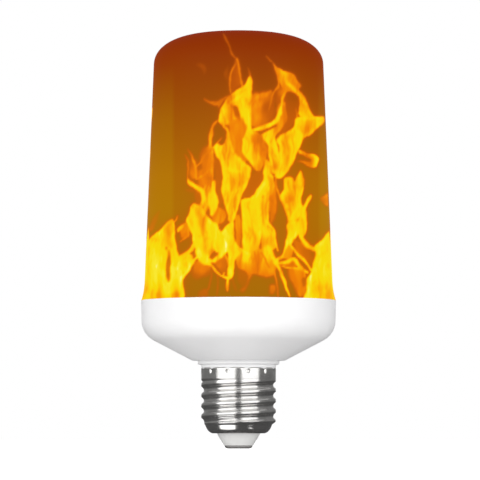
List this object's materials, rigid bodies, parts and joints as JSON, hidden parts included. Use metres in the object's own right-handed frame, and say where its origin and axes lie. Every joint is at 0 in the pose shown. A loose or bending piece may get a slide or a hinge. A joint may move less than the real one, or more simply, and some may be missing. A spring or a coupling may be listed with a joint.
{
  "type": "flame effect led bulb",
  "caption": "Tapered amber bulb with a flame pattern on its translucent cover, a white bowl-shaped base housing and a screw cap with a threaded metal shell.",
  "frame": {"origin": "bottom centre of the tip contact, on the bulb's axis", "axes": "+Z along the bulb's axis from the tip contact to the top of the cover, -Y towards the front of the flame pattern in the picture, +X to the right"},
  "size_m": [0.068, 0.068, 0.1455],
  "materials": {
    "cover": "satin translucent amber with a flame pattern, lit from inside",
    "housing": "satin white moulded plastic",
    "cap_metal": "polished nickel plate",
    "insulator": "satin white",
    "contact_metal": "dull tinned metal",
    "inner_plastic": "matt white moulded plastic",
    "flex_board": "white solder mask",
    "lamp": "warm phosphor",
    "screw_steel": "zinc plate",
    "board": "green laminate",
    "can": "sleeved can",
    "ferrite": "ferrite with enamelled wire",
    "chip": "matt black package",
    "resistor": "coated barrel",
    "connector": "natural nylon",
    "lead_brown": "insulated lead",
    "lead_blue": "insulated lead",
    "lead_red": "insulated lead"
  },
  "bodies": {
    "root": {"diffuser_cover": "cover", "base_housing": "housing", "screw_shell": "cap_metal", "cap_insulator": "insulator", "centre_contact": "contact_metal", "led_carrier": "inner_plastic", "carrier_cap": "inner_plastic", "led_board": "flex_board", "led_lamps": "lamp", "carrier_screws": "screw_steel", "driver_board": "board", "controller_board": "board", "input_capacitor": "can", "output_capacitor": "can", "inductor": "ferrite", "bridge_rectifier": "chip", "driver_ic": "chip", "controller_ic": "chip", "fuse_resistor": "resistor", "board_connector": "connector", "live_lead": "lead_brown", "neutral_lead": "lead_blue", "led_leads": "lead_red"}
  },
  "joints": []
}
